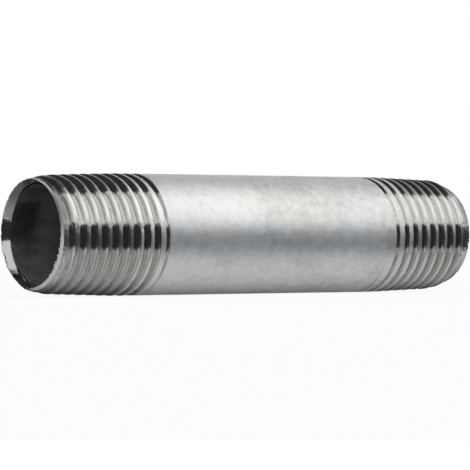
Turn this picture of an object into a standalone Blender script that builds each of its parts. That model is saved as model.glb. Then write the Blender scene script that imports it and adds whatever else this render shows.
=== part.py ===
"""Threaded pipe nipple: a short galvanised steel pipe with a taper thread cut on both ends.

The nipple lies along X, its middle at the origin, +Z up, in metres. Its near end, the one whose
mouth the photograph shows, is at -X. Every piece is turned about its own local Z axis, and one
empty lays that axis down along X.
"""

import math

import bmesh
import bpy
from mathutils import Vector

MM = 0.001

# The pipe: quarter-inch nominal size.
PIPE_DIAMETER = 13.716 * MM
NIPPLE_LENGTH = 60.0 * MM
PIPE_WALL = 1.40 * MM

# The zinc left by hot-dip galvanising, and the seam between it and the steel.
ZINC_THICKNESS = 0.08 * MM
ZINC_SEAM = 0.01 * MM

# The thread: 18 turns to the inch on a 1:16 taper, 60 degrees between its sides.
THREAD_PITCH = 1.4111 * MM
THREAD_TAPER = 1 / 16
THREAD_ANGLE = math.radians(60)
THREAD_DEPTH = 0.72 * MM
ROOT_WIDTH = 0.12 * MM
CREST_DROP_AT_FACE = 0.328 * MM
CUTTER_CLEARANCE = 0.15 * MM
THREAD_TURNS = 10.0
LEAD_IN_TURNS = 0.75

# Each end is chamfered outside, reamed inside and threaded: how far its chamfer drops and its ream
# opens, how many turns in from the face its groove starts, and the turns over which the groove
# runs out into the barrel. The far end was threaded with a longer runout and a deeper chamfer.
CHAMFER_LENGTH = 1.90 * MM
REAM_LENGTH = 0.95 * MM
NEAR_END = {
    "chamfer_drop": 0.688 * MM,
    "ream_width": 0.512 * MM,
    "start": 0.0,
    "runout_turns": 0.5,
}
FAR_END = {
    "chamfer_drop": 0.958 * MM,
    "ream_width": 0.242 * MM,
    "start": 0.42,
    "runout_turns": 3.5,
}

SEGMENTS = 40

# Sizes that follow from those above.
PIPE_RADIUS = PIPE_DIAMETER / 2
BORE_RADIUS = PIPE_RADIUS - PIPE_WALL
NEAR_FACE_RADIUS = PIPE_RADIUS - NEAR_END["chamfer_drop"]
FAR_FACE_RADIUS = PIPE_RADIUS - FAR_END["chamfer_drop"]
NEAR_MOUTH_RADIUS = BORE_RADIUS + NEAR_END["ream_width"]
FAR_MOUTH_RADIUS = BORE_RADIUS + FAR_END["ream_width"]
TAPER_RISE = THREAD_TAPER / 2
TAPER_LENGTH = CREST_DROP_AT_FACE / TAPER_RISE
CREST_RADIUS_AT_FACE = PIPE_RADIUS - CREST_DROP_AT_FACE
CHAMFER_TOP_RADIUS = CREST_RADIUS_AT_FACE + TAPER_RISE * CHAMFER_LENGTH
HALF_LENGTH = NIPPLE_LENGTH / 2
COAT_EDGE = HALF_LENGTH - THREAD_TURNS * THREAD_PITCH - CUTTER_CLEARANCE
STEP_ANGLE = 2 * math.pi / SEGMENTS


def clear_scene():
    for obj in list(bpy.data.objects):
        bpy.data.objects.remove(obj, do_unlink=True)


def new_collection(name):
    made = bpy.data.collections.new(name)
    bpy.context.scene.collection.children.link(made)
    return made


def metal(name, colour, roughness, metallic):
    made = bpy.data.materials.new(name)
    made.use_nodes = True
    shader = made.node_tree.nodes["Principled BSDF"]
    shader.inputs["Base Color"].default_value = (*colour, 1.0)
    shader.inputs["Roughness"].default_value = roughness
    shader.inputs["Metallic"].default_value = metallic
    return made


def add_object(name, bm, collection, parent):
    mesh = bpy.data.meshes.new(name)
    bm.to_mesh(mesh)
    bm.free()
    obj = bpy.data.objects.new(name, mesh)
    collection.objects.link(obj)
    obj.parent = parent
    return obj


def turned(name, profile, collection, parent, material):
    """A closed outline of (radius, height) points, turned about local Z.

    The outline is turned back half a step, so that a flat of the many-sided pipe lies undermost.
    """
    bm = bmesh.new()
    half_step = STEP_ANGLE / 2
    points = []
    for radius, height in profile:
        across = radius * math.cos(half_step)
        aside = -radius * math.sin(half_step)
        points.append(bm.verts.new((across, aside, height)))
    for first, second in zip(points, points[1:] + points[:1]):
        bm.edges.new((first, second))
    obj = add_object(name, bm, collection, parent)
    screw = obj.modifiers.new("turn", "SCREW")
    screw.axis = "Z"
    screw.steps = SEGMENTS
    screw.render_steps = SEGMENTS
    screw.use_merge_vertices = True
    screw.merge_threshold = 1e-6
    obj.data.materials.append(material)
    return obj


def root_radius(depth_in, end):
    """Radius of the groove's floor at a distance in from the end face.

    The groove comes in from outside the chamfer, follows the taper, and climbs out at the barrel.
    """
    outside = PIPE_RADIUS + CUTTER_CLEARANCE
    floor = CREST_RADIUS_AT_FACE - THREAD_DEPTH + TAPER_RISE * depth_in
    turns_in = depth_in / THREAD_PITCH
    coming_in = (turns_in - end["start"]) / LEAD_IN_TURNS
    going_out = (THREAD_TURNS - turns_in) / end["runout_turns"]
    coming_in = min(1.0, max(0.0, coming_in))
    going_out = min(1.0, max(0.0, going_out))
    depth = math.sin(coming_in * math.pi / 2) * math.sin(going_out * math.pi / 2)
    return outside + (floor - outside) * depth


def groove_cutter(name, end, collection, parent):
    """A V-shaped ring of tool steel wound along the thread, its end face at local Z = 0.

    Spinning one flat outline gives a plain screw of constant radius. Each copy of the outline is
    then moved in or out to follow the taper and the two ends of the groove.
    """
    height = THREAD_DEPTH + CUTTER_CLEARANCE
    floor_half = ROOT_WIDTH / 2
    top_half = floor_half + height * math.tan(THREAD_ANGLE / 2)
    start = end["start"] * THREAD_PITCH
    outline = (
        (0.0, start - floor_half),
        (height, start - top_half),
        (height, start + top_half),
        (0.0, start + floor_half),
    )
    bm = bmesh.new()
    corners = [bm.verts.new((PIPE_RADIUS + out, 0.0, along)) for out, along in outline]
    face = bm.faces.new(corners)
    steps = round((THREAD_TURNS - end["start"]) * SEGMENTS)
    bmesh.ops.spin(
        bm,
        geom=[face],
        cent=(0.0, 0.0, 0.0),
        axis=(0.0, 0.0, 1.0),
        dvec=(0.0, 0.0, THREAD_PITCH / SEGMENTS),
        angle=steps * STEP_ANGLE,
        steps=steps,
    )
    bm.verts.ensure_lookup_table()
    for vertex in bm.verts:
        turned_steps = vertex.index // len(outline)
        depth_in = start + turned_steps * THREAD_PITCH / SEGMENTS
        outward = Vector((vertex.co.x, vertex.co.y, 0.0)).normalized()
        vertex.co += outward * (root_radius(depth_in, end) - PIPE_RADIUS)
    bmesh.ops.recalc_face_normals(bm, faces=bm.faces)
    obj = add_object(name, bm, collection, parent)
    obj.hide_render = True
    obj.display_type = "WIRE"
    return obj


def cut(obj, cutter):
    boolean = obj.modifiers.new(cutter.name, "BOOLEAN")
    boolean.operation = "DIFFERENCE"
    boolean.solver = "EXACT"
    boolean.object = cutter


def shade_round(obj):
    obj.data.shade_smooth()
    obj.data.set_sharp_from_angle(angle=math.radians(20))


clear_scene()
parts = new_collection("pipe_nipple")
cutters = new_collection("thread_cutters")

bare_steel = metal("cut_steel", (0.46, 0.45, 0.43), 0.22, 1.0)
outer_zinc = metal("barrel_zinc", (0.60, 0.61, 0.62), 0.45, 1.0)
inner_zinc = metal("bore_zinc", (0.30, 0.30, 0.31), 0.60, 1.0)

axis = bpy.data.objects.new("nipple_axis", None)
parts.objects.link(axis)
axis.rotation_euler = (0.0, math.pi / 2, 0.0)

# The steel: pipe wall, threaded ends, chamfers and reamed mouths in one outline, from the far
# face down the outside to the near face and back up the bore.
barrel_steel_radius = PIPE_RADIUS - ZINC_THICKNESS - ZINC_SEAM
bore_steel_radius = BORE_RADIUS + ZINC_THICKNESS + ZINC_SEAM
steel_outline = (
    (FAR_FACE_RADIUS, HALF_LENGTH),
    (CHAMFER_TOP_RADIUS, HALF_LENGTH - CHAMFER_LENGTH),
    (PIPE_RADIUS, HALF_LENGTH - TAPER_LENGTH),
    (PIPE_RADIUS, COAT_EDGE),
    (barrel_steel_radius, COAT_EDGE),
    (barrel_steel_radius, -COAT_EDGE),
    (PIPE_RADIUS, -COAT_EDGE),
    (PIPE_RADIUS, -HALF_LENGTH + TAPER_LENGTH),
    (CHAMFER_TOP_RADIUS, -HALF_LENGTH + CHAMFER_LENGTH),
    (NEAR_FACE_RADIUS, -HALF_LENGTH),
    (NEAR_MOUTH_RADIUS, -HALF_LENGTH),
    (bore_steel_radius, -HALF_LENGTH + REAM_LENGTH),
    (bore_steel_radius, HALF_LENGTH - REAM_LENGTH),
    (FAR_MOUTH_RADIUS, HALF_LENGTH),
)
steel_pipe = turned("steel_pipe", steel_outline, parts, axis, bare_steel)

near_cutter = groove_cutter("near_groove_cutter", NEAR_END, cutters, axis)
near_cutter.location.z = -HALF_LENGTH
far_cutter = groove_cutter("far_groove_cutter", FAR_END, cutters, axis)
far_cutter.location.z = HALF_LENGTH
far_cutter.rotation_euler.x = math.pi
cut(steel_pipe, near_cutter)
cut(steel_pipe, far_cutter)

# The zinc on the barrel, flush with the crests beside it.
barrel_zinc_outline = (
    (PIPE_RADIUS, COAT_EDGE - ZINC_SEAM),
    (PIPE_RADIUS, -COAT_EDGE + ZINC_SEAM),
    (PIPE_RADIUS - ZINC_THICKNESS, -COAT_EDGE + ZINC_SEAM),
    (PIPE_RADIUS - ZINC_THICKNESS, COAT_EDGE - ZINC_SEAM),
)
barrel_zinc = turned("outer_zinc_coat", barrel_zinc_outline, parts, axis, outer_zinc)

# The zinc inside the bore, cut back to where the reamer stopped.
bore_zinc_outline = (
    (BORE_RADIUS + ZINC_THICKNESS, HALF_LENGTH - REAM_LENGTH),
    (BORE_RADIUS + ZINC_THICKNESS, -HALF_LENGTH + REAM_LENGTH),
    (BORE_RADIUS, -HALF_LENGTH + REAM_LENGTH),
    (BORE_RADIUS, HALF_LENGTH - REAM_LENGTH),
)
bore_zinc = turned("inner_zinc_coat", bore_zinc_outline, parts, axis, inner_zinc)

for piece in (steel_pipe, barrel_zinc, bore_zinc):
    shade_round(piece)
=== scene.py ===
# %% [markdown]
# # A threaded pipe nipple, dressed for the camera
#
# A nipple is a short length of galvanised steel pipe with a taper thread cut on each end. The CAD
# model already holds its three pieces: the steel, the zinc left on the barrel, and the zinc inside
# the bore. This lesson gives each of them the fine shape and the finish that the real one shows.
# Everything is in metres, in the CAD model's own frame: the pipe lies along X and +Z is up.

# %% Load the packed CAD model
import math

import bmesh
import bpy
import numpy as np
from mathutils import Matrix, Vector, noise


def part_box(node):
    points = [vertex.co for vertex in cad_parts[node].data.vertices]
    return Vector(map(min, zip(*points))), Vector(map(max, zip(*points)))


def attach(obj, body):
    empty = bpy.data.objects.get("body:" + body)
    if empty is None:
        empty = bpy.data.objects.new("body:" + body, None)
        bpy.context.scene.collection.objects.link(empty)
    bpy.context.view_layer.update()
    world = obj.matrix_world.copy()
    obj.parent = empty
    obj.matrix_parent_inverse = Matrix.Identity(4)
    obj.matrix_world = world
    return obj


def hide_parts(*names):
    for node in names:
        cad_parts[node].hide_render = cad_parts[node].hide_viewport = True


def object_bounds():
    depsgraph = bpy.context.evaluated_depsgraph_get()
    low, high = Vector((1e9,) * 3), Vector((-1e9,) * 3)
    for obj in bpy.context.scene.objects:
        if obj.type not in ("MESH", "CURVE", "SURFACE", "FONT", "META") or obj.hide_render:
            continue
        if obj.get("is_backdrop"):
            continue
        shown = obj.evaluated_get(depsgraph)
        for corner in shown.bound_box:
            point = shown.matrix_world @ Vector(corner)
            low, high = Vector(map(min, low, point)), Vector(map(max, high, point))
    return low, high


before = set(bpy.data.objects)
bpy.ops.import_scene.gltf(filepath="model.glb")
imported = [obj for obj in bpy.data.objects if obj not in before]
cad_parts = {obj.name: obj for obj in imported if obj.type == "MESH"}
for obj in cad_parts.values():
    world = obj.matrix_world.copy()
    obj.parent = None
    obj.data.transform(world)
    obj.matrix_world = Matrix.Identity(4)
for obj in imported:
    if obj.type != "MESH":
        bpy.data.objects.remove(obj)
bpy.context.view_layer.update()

print("CAD nodes:", sorted(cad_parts))

# %% [markdown]
# ## The camera
#
# The axis of the pipe runs level across the picture, so the camera stands at the pipe's own height.
# The open mouth shows as an ellipse a little over half as wide as it is tall, which puts the camera
# about 38 degrees round towards the near end. A short lens close by would make the far end look much
# smaller than the near one. Here it looks only slightly smaller, so the lens is long and well back.

# %% Place the camera
MM = 0.001
CAMERA_PLACE = Vector((-216.96 * MM, -271.67 * MM, 0.0))
LOOKED_AT = Vector((-1.4 * MM, 0.0, -0.06 * MM))

camera_data = bpy.data.cameras.new("photo_camera")
camera_data.sensor_width = 36.0
camera_data.lens = 229.8
camera = bpy.data.objects.new("photo_camera", camera_data)
bpy.context.scene.collection.objects.link(camera)
camera.location = CAMERA_PLACE
sight_line = LOOKED_AT - CAMERA_PLACE
camera.rotation_euler = sight_line.to_track_quat("-Z", "Y").to_euler()
bpy.context.scene.camera = camera
print("camera stands", round(sight_line.length / MM), "mm from the middle of the nipple")

# %% [markdown]
# ## The thread as one formula
#
# A threading die cuts one long V groove that winds around the pipe. Its floor rises towards the
# barrel at 1 in 32, which is a taper of 1 in 16 on the diameter. A screw modifier could wind a
# profile into such a groove, but not one that begins on a chamfer and runs out into the barrel. One
# formula for the radius at every place can do all of it, mostly from the CAD model's own numbers.
#
# Each end has its own habits. The near groove runs out within half a turn, as in the solid. The far
# groove gets shallower over almost seven turns, about twice as slowly as in the solid, which leaves
# its last crests broad and flat. The crests are also a little rounded here.

# %% The sizes of the pipe
PIPE_RADIUS = 6.858 * MM
BORE_RADIUS = 5.458 * MM
ZINC_THICKNESS = 0.08 * MM
SEAM = 0.01 * MM
HALF_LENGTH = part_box("steel_pipe")[1].x
COAT_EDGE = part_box("outer_zinc_coat")[1].x + SEAM
THREAD_LENGTH = HALF_LENGTH - COAT_EDGE
print("each thread is", round(THREAD_LENGTH / MM, 2), "mm long")

# %% The sizes of the thread
PITCH = 1.4111 * MM
TAPER_RISE = 1 / 32
CREST_AT_FACE = 6.530 * MM
CREST_ROUNDING = 0.20 * MM
GROOVE_DEPTH = 0.72 * MM
GROOVE_FLOOR_WIDTH = 0.12 * MM
FLANK_SLOPE = 1 / math.tan(math.radians(30))
LEAD_IN_TURNS = 0.75
CLEAR_OF_PIPE = 0.22 * MM
CHAMFER_LENGTH = 1.90 * MM
CHAMFER_TOP = 6.589 * MM
print("one groove winds", round(THREAD_LENGTH / PITCH, 1), "times around each end")

# %% What differs between the two ends
# The groove starts, ends and runs out at counts of turns, and `climb` bends its way out. Then come
# the radii of the face and of the reamed mouth, how far off-centre the reamer ran, how deep the rim
# is worn low down, and how much its edge is rounded.
NEAR_END = {
    "start": 0.0, "turns": 10.0, "runout_turns": 0.5, "climb": 0.7,
    "face": 6.17 * MM, "mouth": 6.00 * MM, "off_centre": 0.45 * MM,
    "wear": 0.42 * MM, "rounding": 0.10 * MM,
}
FAR_END = {
    "start": 0.42, "turns": 9.6, "runout_turns": 6.7, "climb": 0.25,
    "face": 5.90 * MM, "mouth": 5.70 * MM, "off_centre": 0.0,
    "wear": 0.0, "rounding": 0.03 * MM,
}
print("end faces in mm:", [round(end["face"] / MM, 2) for end in (NEAR_END, FAR_END)])


# %% The crest and the floor of the groove
def crest_radius(depth_in, end):
    """The pipe's outside before the groove: a chamfer, then the taper, then the full diameter."""
    chamfer = end["face"] + (CHAMFER_TOP - end["face"]) * depth_in / CHAMFER_LENGTH
    taper = np.minimum(PIPE_RADIUS, CREST_AT_FACE + TAPER_RISE * depth_in)
    return np.minimum(chamfer, taper)


def floor_radius(depth_in, end):
    """The floor of the groove, with the die's first bite and its runout."""
    outside = PIPE_RADIUS + CLEAR_OF_PIPE
    floor = CREST_AT_FACE - GROOVE_DEPTH + TAPER_RISE * depth_in
    turns_in = depth_in / PITCH
    coming_in = np.clip((turns_in - end["start"]) / LEAD_IN_TURNS, 0.0, 1.0)
    going_out = np.clip((end["turns"] - turns_in) / end["runout_turns"], 0.0, 1.0)
    cut = np.sin(coming_in * math.pi / 2) * going_out ** end["climb"]
    return outside + (floor - outside) * cut


halfway = THREAD_LENGTH / 2
for end_name, end in (("near", NEAR_END), ("far", FAR_END)):
    groove_depth = crest_radius(halfway, end) - floor_radius(halfway, end)
    print("halfway along, the", end_name, "groove is", round(groove_depth / MM, 2), "mm deep")


# %% The radius of the cut steel at any depth in from the face and at any angle
def blended_lower(first, second, width):
    """The lower of two surfaces, with the corner between them rounded over the given width."""
    closeness = np.clip(1.0 - np.abs(first - second) / width, 0.0, 1.0)
    return np.minimum(first, second) - closeness**2 * width / 4


def thread_radius(depth_in, turn, end, ragged):
    """Cut surface of one end. `turn` counts from the underside, `ragged` is tool chatter."""
    sideways = 0.15 * ragged
    place = depth_in / PITCH - end["start"] - turn
    groove_centre = (np.round(place) + end["start"] + turn) * PITCH
    off_centre = np.abs(depth_in + sideways - groove_centre)
    climb = np.maximum(off_centre - GROOVE_FLOOR_WIDTH / 2, 0.0) * FLANK_SLOPE
    groove = floor_radius(groove_centre, end) + climb
    return blended_lower(crest_radius(depth_in, end) + ragged, groove, CREST_ROUNDING)


sample = thread_radius(np.array([5.0, 5.7]) * MM, np.array([0.0, 0.0]), NEAR_END, 0.0)
print("two radii on the near thread in mm:", np.round(sample / MM, 3))

# %% [markdown]
# ## Torn edges
#
# A die tears steel as much as it slices it, so the crests are not perfect lines. The burrs and nicks
# could be painted as bumps, but then the outline against the background would stay too clean. A
# little noise in the radius itself shows in the outline as well as in the light.


# %% Chatter marks along the crests
def around(radius, depth_in, turn):
    """A point on the near end. Turn 0 is undermost, and turning is right-handed about +X."""
    angle = 2 * math.pi * turn
    return (depth_in - HALF_LENGTH, radius * math.sin(angle), -radius * math.cos(angle))


def chatter(depth_in, turn, seed):
    """Height of torn edges: fine burrs everywhere, and a deeper nick now and then."""
    x, y, z = (value / MM for value in around(6.6 * MM, depth_in, turn))
    fine = noise.noise((x * 2.6 + seed, y * 2.6, z * 2.6))
    broad = noise.noise((x * 0.7 + seed, y * 0.7, z * 0.7 + 9.0))
    nick = max(0.0, noise.noise((x * 1.7, y * 1.7 + seed, z * 1.7)) - 0.42)
    return (0.020 * fine + 0.012 * broad - 0.12 * nick) * MM


heights = [chatter(5.0 * MM, step / 100, 0.0) for step in range(100)]
print("chatter in one turn, in mm:", round(min(heights) / MM, 3), "to", round(max(heights) / MM, 3))

# %% [markdown]
# ## A mouth reamed off-centre
#
# A reamer cuts a narrow cone inside each end. At the near end it ran off-centre, so the cone breaks
# out through the rim at the upper back, and the rim is worn and torn low down. Cutting one cone out
# of another with a Boolean would leave long thin faces along the break. Here two small formulas say
# how far in the rim's edge lies and how wide the cone is at each angle, and the mesh follows them.

# %% Where the near reamer cut, and where the rim is worn
WALL_RADIUS = BORE_RADIUS + ZINC_THICKNESS + SEAM
NARROWEST_CONE = WALL_RADIUS + 0.01 * MM
REAM_SLOPE = 1.0
CHAMFER_SLOPE = 0.22
REAMED_TOWARDS = 0.294
WORN_AT = 0.085


def reamed_radius(turn, end):
    """Edge of the reamed cone at the face. The near reamer ran off-centre, towards the back."""
    angle = 2 * math.pi * (turn - REAMED_TOWARDS)
    off = end["off_centre"]
    edge = off * math.cos(angle) + math.sqrt(end["mouth"] ** 2 - (off * math.sin(angle)) ** 2)
    return max(edge, NARROWEST_CONE)


def cut_through(turn, end):
    """How far in the reamed cone cuts the rim away where it runs out through the chamfer."""
    past_the_face = reamed_radius(turn, end) - end["face"] + 0.02 * MM
    return max(0.0, past_the_face) / (REAM_SLOPE + CHAMFER_SLOPE)


def lip_depth(turn, end):
    """How far the lip lies in from the face: rounded, cut through by the cone, or worn low down."""
    worn = math.exp(-(((turn - WORN_AT) / 0.07) ** 2))
    return max(end["rounding"], cut_through(turn, end)) + end["wear"] * worn


lip_depths = [lip_depth(step / 100, NEAR_END) / MM for step in range(100)]
print("near lip lies", round(min(lip_depths), 2), "to", round(max(lip_depths), 2), "mm in from the face")

# %% The torn edge of the rim and the burrs on its lip
TORN_AT = 0.20
BURRS_AT = 0.835


def rim_tear(turn, end, seed):
    """How much deeper the rim's edge is torn at one place, worst low at the back."""
    angle = 2 * math.pi * turn
    rough = noise.noise((seed, 17.0 * math.sin(angle), 17.0 * math.cos(angle)))
    worst = 0.15 + math.exp(-(((turn - TORN_AT) / 0.045) ** 2))
    return 0.9 * end["wear"] * worst * max(0.0, 0.2 + rough)


def torn_lip(turn, seed):
    """Burrs on the lip of a mouth, worst low on the front."""
    angle = 2 * math.pi * turn
    y, z = 9.0 * math.sin(angle), -9.0 * math.cos(angle)
    worst = 0.08 + math.exp(-(((turn - BURRS_AT) / 0.05) ** 2))
    return 1.0 * MM * worst * noise.noise((seed, y * 2.1, z * 2.1))


deepest = max(rim_tear(step / 100, NEAR_END, 0.0) for step in range(100))
print("deepest tear in the near rim:", round(deepest / MM, 2), "mm")


# %% The inner edge of the rim and the end of the cone
def lip_radius(turn, end):
    """Inner edge of the rim, which is also the wide end of the reamed cone."""
    cone = reamed_radius(turn, end) - REAM_SLOPE * cut_through(turn, end)
    return max(NARROWEST_CONE, cone)


def ream_end(turn, end):
    """Depth at which the reamed cone runs out into the wall behind the bore's zinc."""
    cone_length = (lip_radius(turn, end) - WALL_RADIUS) / REAM_SLOPE
    return lip_depth(turn, end) + 0.05 * MM + cone_length


cone_ends = [ream_end(step / 100, NEAR_END) / MM for step in range(100)]
print("near cone ends", round(min(cone_ends), 2), "to", round(max(cone_ends), 2), "mm in from the face")

# %% [markdown]
# ## A grid that follows the screw
#
# On a plain grid of rings the winding crest would cut across the squares and look like stairs. Here
# each row of points winds with the groove instead: going once around the pipe moves a row on by one
# pitch. The last column is joined to the first one a whole turn of rows further on. Rows that would
# leave the end face or run under the zinc are held at that edge.
#
# One fault is left in it. The far groove starts 0.42 of a turn on, so the far grid begins too late to
# meet its face all the way round. A slit up to about 0.6 mm wide stays open in the far chamfer, from
# the underside round the back. Starting that grid one turn of rows earlier would close it.

# %% Places and radii of one threaded end
COLUMNS = 210
ROWS_PER_PITCH = 21


def thread_grid(end, seed):
    """Each column's turn and lip, and the depth and radius of every point in it."""
    turns = np.arange(COLUMNS) / COLUMNS
    rows = ROWS_PER_PITCH * (math.ceil(THREAD_LENGTH / PITCH - end["start"]) + 2)
    steps = np.arange(rows + 1) / ROWS_PER_PITCH - 1.0 + end["start"]
    lips = np.array([lip_depth(turn, end) + rim_tear(turn, end, seed) for turn in turns])
    depths = np.clip((steps[None, :] + turns[:, None]) * PITCH, lips[:, None], THREAD_LENGTH)
    ragged = np.array([[chatter(d, t, seed) for d in line] for t, line in zip(turns, depths)])
    fade = np.clip((THREAD_LENGTH - depths) / (0.5 * MM), 0.0, 1.0)
    rougher_rim = 1.0 + 1.2 * np.exp(-depths / (1.2 * MM))
    radii = thread_radius(depths, turns[:, None], end, ragged * fade * rougher_rim)
    return turns, lips, depths, radii


print("one turn of the screw has", COLUMNS, "by", ROWS_PER_PITCH, "squares")


# %% One threaded end as a mesh
def threaded_end(bm, end, seed, half_turned):
    """Adds one end to the mesh and gives back its rings at the face and at the zinc's edge."""

    def put(radius, depth_in, turn):
        x, y, z = around(radius, depth_in, turn)
        return bm.verts.new((-x, -y, z) if half_turned else (x, y, z))

    grid, face_ring, inner_ring = [], [], []
    for turn, lip, line, radius_line in zip(*thread_grid(end, seed)):
        face_ring.append(put(radius_line[0], lip, turn))
        inner_ring.append(put(radius_line[-1], THREAD_LENGTH, turn))
        column = []
        for depth_in, radius in zip(line, radius_line):
            if depth_in <= lip:
                column.append(face_ring[-1])
            elif depth_in >= THREAD_LENGTH:
                column.append(inner_ring[-1])
            else:
                column.append(put(radius, depth_in, turn))
        grid.append(column)

    seam = grid[0][ROWS_PER_PITCH:] + [inner_ring[0]] * ROWS_PER_PITCH
    for left, right in zip(grid, grid[1:] + [seam]):
        for row in range(len(left) - 1):
            corners = (left[row], left[row + 1], right[row + 1], right[row])
            corners = list(dict.fromkeys(corners))
            if len(corners) > 2:
                bm.faces.new(corners)
    if half_turned:
        face_ring = face_ring[:1] + face_ring[:0:-1]
        inner_ring = inner_ring[:1] + inner_ring[:0:-1]
    return face_ring, inner_ring


steel = bmesh.new()
near_face, near_shoulder = threaded_end(steel, NEAR_END, 0.0, half_turned=False)
far_face, far_shoulder = threaded_end(steel, FAR_END, 40.0, half_turned=True)
print("the two threads have", len(steel.faces), "faces")

# %% [markdown]
# ## The steel, in one skin
#
# The steel runs from face to face as one body. Between the threads its outside lies under the zinc,
# and inside it is the wall behind the bore's zinc. At each end comes the rim, rounded over, and then
# the reamed cone. A Boolean could join these shapes, but lofting from ring to ring keeps every column
# in line with the thread's own columns. Only the slit in the far chamfer stays open, and the cell
# that joins the mouths counts its edges.


# %% Rings, and the skin between them
def ring(bm, x, radii):
    """A ring of points at one place along the pipe, undermost first."""
    made = []
    for index, (along, radius) in enumerate(zip(np.broadcast_to(x, len(radii)), radii)):
        angle = 2 * math.pi * index / len(radii)
        made.append(bm.verts.new((along, radius * math.sin(angle), -radius * math.cos(angle))))
    return made


def join(bm, *rings):
    """Skins over each pair of neighbouring rings."""
    for first, second in zip(rings, rings[1:]):
        count = len(first)
        for index in range(count):
            after = (index + 1) % count
            bm.faces.new((first[index], first[after], second[after], second[index]))


core = [PIPE_RADIUS - ZINC_THICKNESS - SEAM] * COLUMNS
near_core = ring(steel, -COAT_EDGE, core)
far_core = ring(steel, COAT_EDGE, core)
join(steel, near_shoulder, near_core, far_core, far_shoulder)
print("with the core under the zinc there are", len(steel.faces), "faces")


# %% The rim and the reamed cone
def mouth_rings(bm, end, side, face_ring, seed):
    """Rings from the rim, down the reamed cone, to the wall behind the bore's zinc."""
    turns = [index / COLUMNS for index in range(COLUMNS)]
    outer = np.array([math.hypot(vertex.co.y, vertex.co.z) for vertex in face_ring])
    edges = HALF_LENGTH - np.array([abs(vertex.co.x) for vertex in face_ring])
    lips = np.array([lip_depth(turn, end) for turn in turns])
    ends = np.array([ream_end(turn, end) for turn in turns])
    smooth = np.array([lip_radius(turn, end) for turn in turns])
    torn = np.array([torn_lip(turn, seed) for turn in turns])
    inner = np.minimum(smooth - REAM_SLOPE * (edges - lips) + torn, outer - 0.03 * MM)
    made = []
    for share in (0.12, 0.3, 0.5, 0.7, 0.88, 1.0):
        bulge = 0.68 * share * (1 - share) * (outer - inner)
        made.append(ring(bm, side * (HALF_LENGTH - edges + bulge), outer + share * (inner - outer)))
    for share in (0.35, 0.65, 1.0):
        radii = smooth + share * (WALL_RADIUS - smooth)
        made.append(ring(bm, side * (HALF_LENGTH - lips - share * (ends - lips)), radii))
    return made


near_mouth = mouth_rings(steel, NEAR_END, -1, near_face, 3.0)
far_mouth = mouth_rings(steel, FAR_END, 1, far_face, 7.0)
join(steel, near_face, *near_mouth, *reversed(far_mouth), far_face)
open_edges = [edge for edge in steel.edges if len(edge.link_faces) != 2]
print("edges left open in the steel:", len(open_edges))


# %% Turn the skin into a piece of the part
def finished_piece(name, bm, sharp_degrees):
    """Turns a mesh into a piece that rides on the part's only body."""
    bmesh.ops.recalc_face_normals(bm, faces=bm.faces)
    mesh = bpy.data.meshes.new(name)
    bm.to_mesh(mesh)
    bm.free()
    mesh.shade_smooth()
    mesh.set_sharp_from_angle(angle=math.radians(sharp_degrees))
    piece = bpy.data.objects.new(name, mesh)
    bpy.context.scene.collection.objects.link(piece)
    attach(piece, "root")
    print(name, "has", len(mesh.polygons), "faces")
    return piece


SHARP_DEGREES = 50
threaded_steel = finished_piece("threaded_steel", steel, SHARP_DEGREES)
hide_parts("steel_pipe")

# %% [markdown]
# ## The zinc on the barrel
#
# Hot-dip galvanising leaves zinc a few hundredths of a millimetre thick. It freezes with a faint
# orange-peel waviness that only a reflection gives away. A plain cylinder with a bump would do from
# afar, but its highlight would stay a ruled line. The coat is a thin closed sleeve with the waves in
# its mesh, level at both ends, where it meets the crests.

# %% Build the barrel's zinc sleeve
SLEEVE_END = COAT_EDGE - 0.002 * MM


def barrel_radii(x):
    """The sleeve's outside at one place along the pipe: broad waves with a fine peel on them."""
    settled = min(1.0, (SLEEVE_END - abs(x)) / (0.4 * MM))
    radii = []
    for index in range(COLUMNS):
        angle = 2 * math.pi * index / COLUMNS
        y, z = 6.858 * math.sin(angle), -6.858 * math.cos(angle)
        broad = noise.noise((x / MM * 0.16, y * 0.22, z * 0.22))
        peel = noise.noise((x / MM * 0.8, y * 0.8 + 5.0, z * 0.8))
        radii.append(PIPE_RADIUS + (0.010 * broad + 0.0016 * peel) * settled * MM)
    return radii


bm = bmesh.new()
inside = [PIPE_RADIUS - ZINC_THICKNESS] * COLUMNS
sleeve = [ring(bm, -SLEEVE_END, inside)]
for x in np.linspace(-SLEEVE_END, SLEEVE_END, 150):
    sleeve.append(ring(bm, x, barrel_radii(x)))
sleeve.append(ring(bm, SLEEVE_END, inside))
join(bm, *sleeve, sleeve[0])
barrel_coat = finished_piece("barrel_coat", bm, SHARP_DEGREES)
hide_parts("outer_zinc_coat")

# %% [markdown]
# ## The zinc inside the bore
#
# Zinc drains out of a pipe as it is lifted from the bath, so the inside sets with long soft runs
# along the pipe. Noise stretched along X in the mesh makes such runs, and a modifier could do no
# more. The near reamer cut some of the lining away, so its near edge follows the off-centre cone.

# %% Build the bore's lining
REAM_LENGTH = 0.95 * MM
LINING_END = HALF_LENGTH - REAM_LENGTH
LINING_COLUMNS = 160


def lining_radii(x):
    """The lining's inside at one place along the pipe, thinning to a soft edge at both ends."""
    settled = min(1.0, (LINING_END - abs(x)) / (0.6 * MM))
    radii = []
    for index in range(LINING_COLUMNS):
        angle = 2 * math.pi * index / LINING_COLUMNS
        y, z = 5.4 * math.sin(angle), -5.4 * math.cos(angle)
        runs = noise.noise((x / MM * 0.12, y * 0.7, z * 0.7 + 3.0))
        radii.append(BORE_RADIUS - 0.030 * runs * settled * MM + 0.02 * MM * (1 - settled))
    return radii


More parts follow.
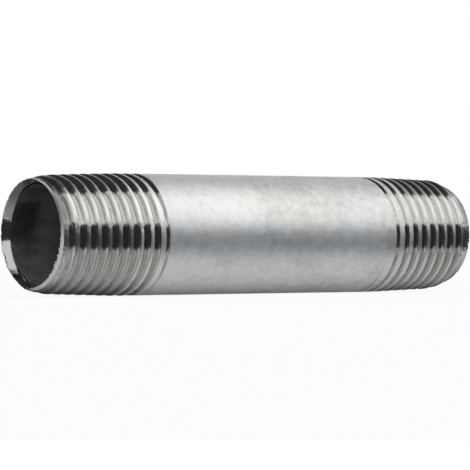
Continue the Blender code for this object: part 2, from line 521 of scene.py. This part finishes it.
bm = bmesh.new()
outside = [BORE_RADIUS + ZINC_THICKNESS] * LINING_COLUMNS
lining_turns = [index / LINING_COLUMNS for index in range(LINING_COLUMNS)]
reamed_back = np.array([ream_end(turn, NEAR_END) for turn in lining_turns]) + 0.12 * MM
lining_starts = np.maximum(reamed_back, REAM_LENGTH) - HALF_LENGTH
lining = [ring(bm, lining_starts, outside)]
for x in np.linspace(-LINING_END, LINING_END, 90):
    lining.append(ring(bm, np.maximum(x, lining_starts), lining_radii(x)))
lining.append(ring(bm, LINING_END, outside))
join(bm, *lining, lining[0])
bore_lining = finished_piece("bore_lining", bm, SHARP_DEGREES)
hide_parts("inner_zinc_coat")

# %% [markdown]
# ## Shader maths as plain arithmetic
#
# A material is a web of nodes, and most of its nodes only add and multiply. Written out one by one
# they fill pages. The class below wraps one output socket, so that `1 - mask` or `grain * 0.3 + 0.5`
# adds the Math nodes by itself. Every other kind of node comes from one method, which takes its
# type, its settings and its inputs.


# %% A wrapper for sockets
class Wire:
    """One output socket of a shader node."""

    def __init__(self, socket):
        self.socket = socket

    def node(self, kind, settings=None, inputs=None, output=0):
        """Adds a node to the same tree: settings first, then values or links, one output back."""
        tree = self.socket.id_data
        made = tree.nodes.new(kind)
        for name, value in (settings or {}).items():
            setattr(made, name, value)
        for key, value in (inputs or {}).items():
            if isinstance(value, Wire):
                tree.links.new(value.socket, made.inputs[key])
            else:
                made.inputs[key].default_value = value
        return Wire(made.outputs[output])

    def maths(self, operation, *values):
        return self.node("ShaderNodeMath", {"operation": operation}, dict(enumerate(values)))

    def __add__(self, other):
        return self.maths("ADD", self, other)

    def __sub__(self, other):
        return self.maths("SUBTRACT", self, other)

    def __rsub__(self, other):
        return self.maths("SUBTRACT", other, self)

    def __mul__(self, other):
        return self.maths("MULTIPLY", self, other)

    __radd__ = __add__
    __rmul__ = __mul__

    def ramp(self, low, high):
        """0 below low, 1 above high, and an S-curve between them."""
        inputs = {"Value": self, "From Min": low, "From Max": high}
        return self.node("ShaderNodeMapRange", {"interpolation_type": "SMOOTHSTEP"}, inputs)

    def band(self, rise, fall):
        """1 between a rising slope and a falling one, each given by where it begins and ends."""
        return self.ramp(*rise) * (1 - self.ramp(*fall))

    def axis(self, index):
        """One part of a vector: 0 for X, 1 for Y, 2 for Z."""
        return self.node("ShaderNodeSeparateXYZ", None, {"Vector": self}, output=index)

    def stretched(self, x, y, z):
        """A vector times three factors, which stretches a pattern."""
        return self.node("ShaderNodeVectorMath", {"operation": "MULTIPLY"}, {0: self, 1: (x, y, z)})

    def noise(self, scale, detail=2.0, roughness=0.5):
        inputs = {"Vector": self, "Scale": scale, "Detail": detail, "Roughness": roughness}
        return self.node("ShaderNodeTexNoise", None, inputs)

    def blend(self, first, second):
        """The first colour where this is 0, the second where it is 1."""
        inputs = {"Factor": self, 6: first, 7: second}
        return self.node("ShaderNodeMix", {"data_type": "RGBA"}, inputs, output=2)


print("a wire offers:", [name for name in vars(Wire) if not name.startswith("_")])


# %% What every metal starts from
def rgba(red, green, blue):
    return (red, green, blue, 1.0)


BLACK = rgba(0.0, 0.0, 0.0)


def new_metal(name, metallic):
    """A material with one metal shader, and a wire that gives places in millimetres."""
    material = bpy.data.materials.new(name)
    material.use_nodes = True
    tree = material.node_tree
    shader = tree.nodes["Principled BSDF"]
    shader.inputs["Metallic"].default_value = metallic
    place = Wire(tree.nodes.new("ShaderNodeTexCoord").outputs["Object"])
    return material, shader, place.stretched(1000.0, 1000.0, 1000.0)


def feed(shader, socket, wire):
    shader.id_data.links.new(wire.socket, shader.inputs[socket])


def relief(height, distance):
    """A Bump node's normal, for a height in the range 0 to 1 and its size in metres."""
    inputs = {"Height": height, "Distance": distance, "Strength": 1.0}
    return height.node("ShaderNodeBump", None, inputs)


print("patterns are counted in millimetres, and one pitch is", round(PITCH / MM, 3))

# %% [markdown]
# ## Zinc on the barrel
#
# The barrel's zinc is satin, a cool light grey, and slightly cloudy. Wiping and handling have left
# faint lines around the pipe. The upper side of the far half carries painted shade, darker and
# warmer, and the coat is painted darker towards the far end, a painted fall-off of the highlight.
# Dark specks are spots of dross. Photographs of zinc could be wrapped on, but noise of several sizes
# has no seam and no edge.
# The same paint is used further down on the crests that the die never reached, so it is a function.


# %% Zinc as colour, roughness and height
def zinc_finish(place):
    clouds = place.noise(0.22, 3.0)
    mottle = place.noise(1.1, 3.0, 0.6)
    grain = place.noise(6.0, 2.0, 0.6)
    lines = place.stretched(7.0, 0.45, 0.45).noise(1.0, 3.0, 0.6)
    along = place.axis(0)
    upper_side = place.axis(2).band((0.0, 2.5), (5.2, 6.4))
    # Painted shade: the upper side of the far half is darker and warmer, and a painted fall-off of the
    # highlight darkens the coat towards the far end.
    painted_shade_far_top = along.ramp(-5.0, 1.5) * (1 - 0.5 * along.ramp(3.0, 12.0)) * upper_side
    painted_highlight_falloff = 0.45 * along.ramp(-16.0, 16.0) + 1.2 * painted_shade_far_top
    tone = 0.62 * mottle + 0.42 * clouds + 0.12 * lines + 0.38 * grain - 0.14 * painted_highlight_falloff
    warmth = place.noise(0.35, 2.0).ramp(0.35, 0.65)
    dull = (warmth + 0.7 * painted_shade_far_top).blend(rgba(0.565, 0.59, 0.615), rgba(0.61, 0.60, 0.57))
    colour = tone.ramp(0.34, 0.92).blend(dull, rgba(0.925, 0.905, 0.878))
    specks = place.noise(3.4, 1.0).ramp(0.70, 0.78) * 0.6
    colour = specks.blend(colour, rgba(0.28, 0.28, 0.28))
    roughness = 0.30 + 0.14 * mottle + 0.12 * lines + 0.10 * specks
    height = 0.7 * grain + 0.25 * lines + 0.4 * mottle
    return colour, roughness, height


barrel_zinc, shader, place = new_metal("barrel_zinc_satin", 0.9)
colour, roughness, height = zinc_finish(place)
feed(shader, "Base Color", colour)
feed(shader, "Roughness", roughness)
feed(shader, "Normal", relief(height, 0.006 * MM))
barrel_coat.data.materials.append(barrel_zinc)
print("barrel zinc uses", len(barrel_zinc.node_tree.nodes), "nodes")

# %% [markdown]
# ## Bare cut steel
#
# The die leaves bright steel with fine tool lines that run around with the groove. The floor of the
# groove is painted darker, partly cutting oil and dust and partly painted shade. A painted mask
# could mark the grooves, but a formula is sharper: how deep a place lies follows from its distance
# to the axis and from the crest line above it.

# %% Where a place lies on the steel
cut_steel, shader, place = new_metal("cut_steel_bright", 1.0)
along = place.axis(0)
backward = place.axis(1)
upward = place.axis(2)
off_axis = place.stretched(0.0, 1.0, 1.0)
radius = off_axis.node("ShaderNodeVectorMath", {"operation": "LENGTH"}, {0: off_axis}, output=1)
from_face = HALF_LENGTH / MM - along.maths("ABSOLUTE", along)
far_side = along.maths("GREATER_THAN", along, 0.0)
near_side = 1 - far_side

taper = CREST_AT_FACE / MM + TAPER_RISE * from_face
face = NEAR_END["face"] / MM + far_side * ((FAR_END["face"] - NEAR_END["face"]) / MM)
chamfer = face + (CHAMFER_TOP / MM - face) * from_face * (MM / CHAMFER_LENGTH)
crest_line = taper.maths("MINIMUM", taper.maths("MINIMUM", taper, PIPE_RADIUS / MM), chamfer)
in_groove = (crest_line - radius) * (MM / GROOVE_DEPTH)
on_crest = 1 - in_groove.ramp(0.02, 0.12)
on_crest = on_crest * (1 - 0.75 * far_side * (1 - from_face.ramp(1.2, 2.0)))
print("finding a place on the steel takes", len(cut_steel.node_tree.nodes), "nodes")

# %% Tool lines, tears, oil and painted shade in the grooves, and stains
tool_lines = place.stretched(9.0, 0.6, 0.6).noise(1.0, 3.0, 0.65)
tears = place.noise(3.2, 3.0, 0.6)
patches = place.noise(0.5, 2.0)
tone = 0.6 * tool_lines + 0.4 * tears
colour = tone.ramp(0.30, 0.72).blend(rgba(0.53, 0.525, 0.51), rgba(0.72, 0.715, 0.70))
# Oil with painted shade: the floor of the groove is darker.
groove_oil_and_shade = in_groove.ramp(0.75, 1.0) * (0.05 + 0.2 * patches)
colour = groove_oil_and_shade.blend(colour, rgba(0.13, 0.125, 0.115))
stain = patches.ramp(0.56, 0.72) * 0.22
colour = stain.blend(colour, rgba(0.50, 0.44, 0.36))
print("with its tool lines and stains the steel has", len(cut_steel.node_tree.nodes), "nodes")

# %% [markdown]
# ## The rim
#
# The rim has had the hardest life. Low down the steel next to it is torn, and its bright flecks are
# partly torn steel and partly painted glints. Higher up the steel next to the face is painted dark,
# a painted shade. The lip itself is a matt, warm edge, with painted highlights at the top and low
# down and painted shade between. It could be a piece of its own, but it is the same steel, so it is
# found by the way that its surface faces: neither straight out, like a crest, nor straight in, like
# the bore.

# %% Flecks with painted glints, painted shade by the face, and the lip with painted highlights
normal = place.node("ShaderNodeTexCoord", output="Normal")
dot_inputs = {0: normal, 1: off_axis}
outward = normal.node("ShaderNodeVectorMath", {"operation": "DOT_PRODUCT"}, dot_inputs, output=1)
low = 1 - upward.ramp(-2.5, 1.0)
# Bright flecks low near the face: partly torn steel, partly painted glints.
flecks_and_glints = tears.ramp(0.48, 0.62) * (1 - from_face.ramp(0.6, 2.2)) * 0.7 * low
colour = flecks_and_glints.blend(colour, rgba(0.92, 0.91, 0.89))
# Painted shade: near the face the steel is darker at mid to upper height.
shade_by_height = upward.ramp(0.4, 1.8) * (0.9 - 0.45 * upward.ramp(3.6, 4.8))
painted_shade_near_face = (1 - from_face.ramp(0.6, 1.5)) * shade_by_height
colour = painted_shade_near_face.blend(colour, rgba(0.24, 0.236, 0.232))

lip = outward.band((-3.8, -2.5), (4.5, 5.8)) * (1 - from_face.ramp(0.5, 0.8))
lip = lip * (1 - low * backward.ramp(-1.0, 2.0))
# The lip's warm colour, with painted highlights at the top and low down and painted shade between.
lip_colour_and_highlights = upward.ramp(-1.5, 1.8).blend(rgba(0.95, 0.83, 0.73), rgba(0.42, 0.37, 0.325))
lip_colour_and_highlights = upward.ramp(3.6, 5.4).blend(lip_colour_and_highlights, rgba(0.93, 0.77, 0.66))
colour = lip.blend(colour, lip_colour_and_highlights)
print("with its rim the steel has", len(cut_steel.node_tree.nodes), "nodes")

# %% [markdown]
# ## Crests and flanks
#
# On the upper side the crests carry a painted highlight, and on the far thread also low down.
# Elsewhere the near crests are a little dull, and along the very top the crests of both threads
# carry painted shade. The flanks just below the near crests on the upper side and the lower flanks
# of the far thread carry painted shade too, as a darker colour in the steel itself.

# %% Painted highlights on the crests, painted shade on the flanks and along the top
upper_side = upward.band((0.8, 2.4), (4.0, 5.0))
# Painted shade on the lower far flanks and the upper near flanks. The near crests are also a little dull.
far_low_flank = far_side * (1 - on_crest) * (1 - upward.ramp(-2.6, -1.4))
near_flank = near_side * in_groove.band((0.06, 0.18), (0.28, 0.55)) * upper_side
dulling_and_painted_shade = 0.15 * near_side * on_crest + 0.16 * far_low_flank + 0.25 * near_flank
colour = dulling_and_painted_shade.blend(colour, BLACK)

# Painted highlight on the crests of the upper side, and low down on the far thread.
painted_crest_highlight = upper_side * from_face.ramp(0.8, 1.6) * (0.4 + 0.1 * far_side)
painted_crest_highlight = painted_crest_highlight + 0.5 * far_side * (1 - upward.ramp(-2.4, -0.8))
colour = (on_crest * painted_crest_highlight).blend(colour, rgba(0.92, 0.91, 0.89))
# Painted shade on the crests along the very top, stronger at the far end.
painted_shade_on_top = (0.2 + 0.3 * along.ramp(16.0, 23.0)) * upward.ramp(4.3, 5.2)
colour = (on_crest * painted_shade_on_top).blend(colour, BLACK)
print("with its crests and flanks the steel has", len(cut_steel.node_tree.nodes), "nodes")

# %% [markdown]
# ## The reamed cone and the underside
#
# The cone faces inwards, so the same measure that found the lip finds it. It is dull grey, with
# painted shade towards the top, and one dark strip low at the back of the near rim. The underside
# of the steel carries painted shade. On the last crests before the barrel the die never reached
# full depth, so the zinc is still there, and the barrel's own finish is blended in by radius.

# %% The cone with painted shade, the dark strip, painted shade underneath and the zinc that is left
reamed = 1 - outward.ramp(-4.1, -3.7)
# Dull grey cone, with painted shade towards the top.
reamed_grey_and_shade = upward.ramp(2.4, 4.6).blend(rgba(0.54, 0.53, 0.515), rgba(0.235, 0.23, 0.225))
colour = reamed.blend(colour, reamed_grey_and_shade)
back_rim = near_side * (1 - from_face.ramp(0.6, 1.2)) * backward.ramp(0.0, 2.0)
# A dark strip low at the back of the near rim.
dark_strip = back_rim * upward.band((-5.1, -4.7), (-4.1, -3.7))
colour = (0.85 * dark_strip).blend(colour, rgba(0.09, 0.088, 0.085))
# Painted shade on the underside of the steel.
underside = 1 - upward.ramp(-6.4, -5.2)
colour = (0.4 * underside).blend(colour, rgba(0.10, 0.095, 0.09))

crest_roughness = (0.20 + 0.06 * far_side) * on_crest
roughness = 0.05 + 0.06 * tool_lines + 0.05 * tears + crest_roughness + 0.3 * lip
height = 0.7 * tool_lines + 0.5 * tears
zinc_colour, zinc_roughness, _ = zinc_finish(place)
kept_zinc = radius.ramp(PIPE_RADIUS / MM - 0.035, PIPE_RADIUS / MM - 0.015)
feed(shader, "Base Color", kept_zinc.blend(colour, zinc_colour))
feed(shader, "Roughness", roughness + kept_zinc * (zinc_roughness - roughness))
feed(shader, "Metallic", 1 - 0.6 * lip)
feed(shader, "Normal", relief(height, 0.004 * MM))
threaded_steel.data.materials.append(cut_steel)
print("cut steel uses", len(cut_steel.node_tree.nodes), "nodes")

# %% [markdown]
# ## Zinc inside the bore
#
# The same metal as the barrel's, but dull: it was never wiped, and a white-grey bloom has grown on it
# in patches. The lining is painted lighter low down and further in, a painted light, and painted
# shade lies at mid height just behind the mouth. A black disc would do for a bore seen from afar,
# but here the eye looks right in, so the lining has a finish of its own with little metal left in it.

# %% Dull zinc for the bore
bore_zinc, shader, place = new_metal("bore_zinc_dull", 0.35)
along = place.axis(0)
upward = place.axis(2)
runs = place.stretched(0.3, 1.0, 1.0).noise(0.6, 3.0)
bloom = place.noise(1.1, 4.0, 0.6)
# Painted light: the lining is lighter further in and low down.
further_in = along.ramp(-27.2, -24.0)
bottom = 1 - upward.ramp(-5.0, 1.0)
tone = 0.5 * runs + 0.5 * bloom + 0.20 * further_in + 0.16 * bottom
colour = tone.ramp(0.38, 0.85).blend(rgba(0.085, 0.076, 0.070), rgba(0.26, 0.24, 0.225))
# Painted shade at mid height just behind the mouth.
painted_shade_behind_mouth = upward.band((-1.6, 0.4), (2.6, 4.6)) * (1 - along.ramp(-26.8, -24.4))
colour = (0.6 * painted_shade_behind_mouth).blend(colour, BLACK)
feed(shader, "Base Color", colour)
feed(shader, "Roughness", 0.50 + 0.25 * bloom)
feed(shader, "Normal", relief(tone, 0.015 * MM))
bore_lining.data.materials.append(bore_zinc)
print("bore zinc uses", len(bore_zinc.node_tree.nodes), "nodes")

# %% [markdown]
# ## Floor and background
#
# The picture's background is plain white, with the nipple lying on it. A floor lit up to full white
# would need light that also washes out the metal. So the floor shows the camera mostly white of its
# own, and the rest is its shading, which keeps the soft shadow under the pipe. The room is white to
# the camera and to reflections, and a cool light to everything else. The floor is left out of
# reflections, where a card takes its place further down.


# %% Lay the floor
def white_share(tree):
    """1 for rays from the camera, from glossy metal and from glass, else 0."""
    light_path = tree.nodes.new("ShaderNodeLightPath")
    seen = Wire(light_path.outputs["Is Camera Ray"])
    for name in ("Is Glossy Ray", "Is Transmission Ray"):
        seen = seen.maths("MAXIMUM", seen, Wire(light_path.outputs[name]))
    return seen


def mixed_shader(share, first, second):
    """The first shader node where the share is 0, the second where it is 1."""
    inputs = {0: share, 1: Wire(first.outputs[0]), 2: Wire(second.outputs[0])}
    return share.node("ShaderNodeMixShader", None, inputs)


def stage_mesh(name, points, faces):
    """A thing that stands around the nipple and is no part of it."""
    mesh = bpy.data.meshes.new(name)
    mesh.from_pydata(points, [], faces)
    obj = bpy.data.objects.new(name, mesh)
    bpy.context.scene.collection.objects.link(obj)
    obj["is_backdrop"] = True
    return obj


FLOOR_LEVEL = -PIPE_RADIUS - 0.01 * MM
FLOOR_REACH = 2.0
corners = [(-1, -1), (1, -1), (1, 1), (-1, 1)]
floor_points = [(x * FLOOR_REACH, y * FLOOR_REACH, FLOOR_LEVEL) for x, y in corners]
floor = stage_mesh("floor", floor_points, [(0, 1, 2, 3)])
floor.visible_glossy = False
print("floor lies at", round(FLOOR_LEVEL / MM, 3), "mm")

# %% Paint the floor
paper = bpy.data.materials.new("white_paper")
paper.use_nodes = True
tree = paper.node_tree
shader = tree.nodes["Principled BSDF"]
shader.inputs["Base Color"].default_value = rgba(0.86, 0.86, 0.86)
shader.inputs["Roughness"].default_value = 0.9
shader.inputs["Specular IOR Level"].default_value = 0.0
glow = tree.nodes.new("ShaderNodeEmission")
paper_surface = mixed_shader(white_share(tree) * 0.9, shader, glow)
tree.links.new(paper_surface.socket, tree.nodes["Material Output"].inputs["Surface"])
floor.data.materials.append(paper)
print("the floor is painted with", paper.name)

# %% Light the room
world = bpy.data.worlds.new("white_room")
bpy.context.scene.world = world
world.use_nodes = True
tree = world.node_tree
room_light = tree.nodes["Background"]
room_light.inputs["Color"].default_value = rgba(0.76, 0.89, 1.0)
white = tree.nodes.new("ShaderNodeBackground")
white.inputs["Color"].default_value = rgba(1.0, 1.0, 1.0)
room_surface = mixed_shader(white_share(tree), room_light, white)
tree.links.new(room_surface.socket, tree.nodes["World Output"].inputs["Surface"])
print("the room is", world.name)

# %% [markdown]
# ## Cards for the metal to mirror
#
# Bright metal shows whatever stands around it, so a studio sets cards around the nipple, out of the
# picture. A ready-made studio panorama would be quicker, but its shapes could not be moved one by one.
# Here each card is a patch of a ball round the nipple, and the cards show only in reflections.
#
# A dark belt at eye level makes the dark blocks halfway up the threads. A dark ceiling, with one card
# that hangs lower at the back, makes the blocks near the top. Grey and pale cards at the left and
# the back light the flanks between them, and below it all lies a table that fades towards the back.


# %% A card on the ball, and its paint
def card_paint(name, colour):
    """A card that shines by itself and mirrors nothing."""
    material = bpy.data.materials.new(name)
    material.use_nodes = True
    shader = material.node_tree.nodes["Principled BSDF"]
    shader.inputs["Base Color"].default_value = BLACK
    shader.inputs["Specular IOR Level"].default_value = 0.0
    shader.inputs["Emission Color"].default_value = rgba(*colour)
    shader.inputs["Emission Strength"].default_value = 1.0
    return material


def towards(azimuth, elevation, reach):
    """A point on a ball round the nipple. Azimuth is in degrees from +X towards +Y."""
    a, e = math.radians(azimuth), math.radians(elevation)
    return (reach * math.cos(e) * math.cos(a), reach * math.cos(e) * math.sin(a), reach * math.sin(e))


CARD_STEPS = 6


def card(name, paint, azimuths, lows, highs, reach):
    """A card bent round the nipple, between a low and a high elevation at each azimuth."""
    lows = np.broadcast_to(lows, len(azimuths))
    highs = np.broadcast_to(highs, len(azimuths))
    points, faces = [], []
    for azimuth, low, high in zip(azimuths, lows, highs):
        for step in range(CARD_STEPS + 1):
            points.append(towards(azimuth, low + (high - low) * step / CARD_STEPS, reach))
    for column in range(len(azimuths) - 1):
        for step in range(CARD_STEPS):
            first = column * (CARD_STEPS + 1) + step
            faces.append((first, first + 1, first + CARD_STEPS + 2, first + CARD_STEPS + 1))
    obj = stage_mesh(name, points, faces)
    obj.data.materials.append(paint)
    obj.visible_camera = False
    obj.visible_diffuse = False
    obj.visible_shadow = False
    return obj


dark = card_paint("dark_card", (0.039, 0.038, 0.036))
deep_grey = card_paint("deep_grey_card", (0.088, 0.117, 0.156))
shade = card_paint("shade_card", (0.38, 0.38, 0.38))
grey = card_paint("grey_card", (0.46, 0.46, 0.46))
silver = card_paint("silver_card", (0.62, 0.62, 0.62))
pale = card_paint("pale_card", (0.78, 0.78, 0.78))
print("card paints:", [paint.name for paint in (dark, deep_grey, shade, grey, silver, pale)])

# %% A table that fades towards the back
TABLE_GREY = (0.62, 0.62, 0.62)
table = card_paint("table_card", TABLE_GREY)
place = Wire(table.node_tree.nodes.new("ShaderNodeTexCoord").outputs["Object"])
fading = place.axis(1).ramp(-0.14, 0.57).blend(rgba(*TABLE_GREY), rgba(0.04, 0.04, 0.042))
feed(table.node_tree.nodes["Principled BSDF"], "Emission Color", fading)
print("the table fades with", len(table.node_tree.nodes), "nodes")

# %% The edges of the cards, as elevations in degrees at azimuths in degrees
BELT_LOW = {
    -180: -13, -128: -27, -95: -27, -78: -28, -64: -29, -56: -30,
    -50: -30, -20: -14, 20: -12, 50: -16, 110: -16, 180: -13,
}
BELT_HIGH = {
    -180: 9, -128: 12, -95: 14, -78: 19, -64: 18, -56: 9,
    -50: 8, -20: 8, 20: 9, 50: 10, 110: 9, 180: 9,
}
CEILING_LOW = {
    -180: 48, -172: 56, -165: 60, -150: 60, -120: 65, -90: 80, -60: 83, -40: 84,
    -20: 80, -8: 66, 0: 62, 13: 59, 25: 55, 35: 50, 45: 44, 55: 38, 70: 34,
    84: 34, 90: 62, 120: 62, 160: 72, 180: 48,
}
BACK_CARD_LOW = {84: 9, 166: 9, 168: 32.5, 174: 40, 180: 46, 186: 51}
LEFT_CARD_LOW = {168: 31, 180: 31, 182: 9, 200: 9}


def span(first, last):
    """Azimuths from the first to the last, every second degree."""
    return np.arange(first, last + 1, 2)


def edge(heights, azimuths):
    """A card's edge, straight between the places that are given."""
    return np.interp(azimuths, list(heights), list(heights.values()))


print("the belt is lowest at", min(BELT_LOW.values()), "and highest at", max(BELT_HIGH.values()), "degrees")

# %% Set the cards, the nearer ones in front of the belt and the ceiling
round_about = span(-180, 180)
front_right = span(-58, -20)
back_right = span(8, 84)
back_left = span(84, 186)
far_left = span(168, 200)
belt_low = edge(BELT_LOW, round_about)
belt_high = edge(BELT_HIGH, round_about)
ceiling_low = edge(CEILING_LOW, round_about)
front_low = edge(BELT_LOW, front_right)
front_high = edge(BELT_HIGH, front_right)

cards = [
    card("dark_belt", dark, round_about, belt_low, belt_high, 0.60),
    card("dark_ceiling", dark, round_about, ceiling_low, 90, 0.60),
    card("fading_table", table, round_about, -90, belt_low, 0.60),
    card("grey_belt", deep_grey, front_right, front_low, front_high, 0.57),
    card("shaded_front", shade, span(-168, -86), -75, -27, 0.54),
    card("shaded_left", shade, span(120, 200), -80, -46, 0.54),
    card("dark_back_card", dark, back_left, edge(BACK_CARD_LOW, back_left), 80, 0.52),
    card("grey_back_card", silver, back_right, 10, edge(CEILING_LOW, back_right), 0.60),
    card("grey_left_card", grey, span(168, 182), 9, 31, 0.54),
    card("pale_left_card", pale, far_left, edge(LEFT_CARD_LOW, far_left), 42, 0.53),
]
print("cards round the nipple:", [obj.name for obj in cards])

# %% [markdown]
# ## Light
#
# The white room gives nearly all of the light. It shows between the dark belt and the dark ceiling as
# the bright band along the upper half of the pipe. One long soft lamp over the front lifts that band
# by a few per cent. A small lamp would draw a hard line there, and a sun would throw a hard shadow, so
# the lamp is large and weak.

# %% Hang the lamp
lamp_data = bpy.data.lights.new("soft_lamp", "AREA")
lamp_data.shape = "RECTANGLE"
lamp_data.size = 0.26
lamp_data.size_y = 0.60
lamp_data.energy = 0.24
lamp = bpy.data.objects.new("soft_lamp", lamp_data)
bpy.context.scene.collection.objects.link(lamp)
lamp.location = towards(-64, 48, 0.56)
lamp.rotation_euler = lamp.location.to_track_quat("Z", "Y").to_euler()
bpy.context.scene.view_settings.view_transform = "Standard"
print("lamp hangs", round(lamp.location.z / MM), "mm above the nipple's axis")

# %% [markdown]
# ## Last measurements
#
# The dressed nipple has to stay the size of the CAD model, so the box of the dressed pieces is
# printed.

# %% Print the box of the dressed pieces
low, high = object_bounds()
print("visual box in mm:", [round(1000 * side, 3) for side in high - low])
